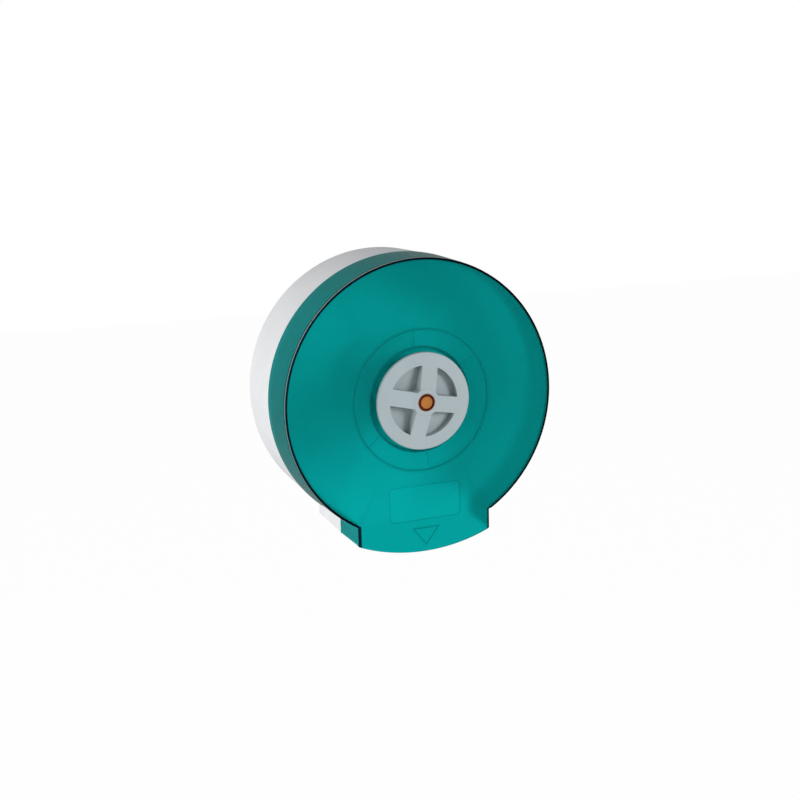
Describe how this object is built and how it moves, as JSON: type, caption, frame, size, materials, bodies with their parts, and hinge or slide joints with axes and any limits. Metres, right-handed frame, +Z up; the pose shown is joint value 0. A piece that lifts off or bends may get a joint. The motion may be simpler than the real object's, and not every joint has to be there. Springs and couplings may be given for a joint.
{
  "type": "toilet roll dispenser",
  "caption": "Round wall-hung dispenser for a large toilet roll: white back pan, clear teal cover with an open skirt below, central turn knob and a spinning hub inside.",
  "frame": {"origin": "on the roll's axis at the wall face of the back plate, which is the centre of the four wall holes", "axes": "+Z up, +Y into the wall, +X to the right seen from the front"},
  "size_m": [0.264, 0.1269, 0.2752],
  "materials": {
    "white_base": "satin moulded ABS",
    "white_post": "moulded ABS",
    "grey_hub": "moulded ABS",
    "acetal": "natural acetal",
    "clear_teal": "clear tinted polystyrene, glossy",
    "grey_knob": "satin moulded ABS",
    "copper_cap": "bright copper-coloured plating",
    "zinc_screws": "zinc plated",
    "spring_steel": "blued spring steel"
  },
  "bodies": {
    "base": {"base_shell": "white_base", "spindle": "white_post", "spindle_screws": "zinc_screws", "thrust_washer": "acetal", "hub_front_washer": "acetal", "hub_clip": "spring_steel"},
    "hub": {"roll_hub": "grey_hub"},
    "cover": {"cover_shell": "clear_teal"},
    "knob": {"knob": "grey_knob", "knob_cap": "copper_cap", "disc_spring": "spring_steel", "lock_plug": "white_post", "knob_screw": "zinc_screws", "knob_screw_washer": "zinc_screws"}
  },
  "joints": [
    {"name": "hub_spin", "type": "hinge", "parent": "base", "child": "hub", "pos_m": [0, -0.05, 0], "axis": [0, 1, 0], "continuous": true},
    {"name": "cover_pull", "type": "slide", "parent": "base", "child": "cover", "axis": [0, -1, 0], "range_m": [0, 0.15]},
    {"name": "knob_turn", "type": "hinge", "parent": "cover", "child": "knob", "pos_m": [0, -0.11, 0], "axis": [0, 1, 0], "range_deg": [0, 90]}
  ]
}
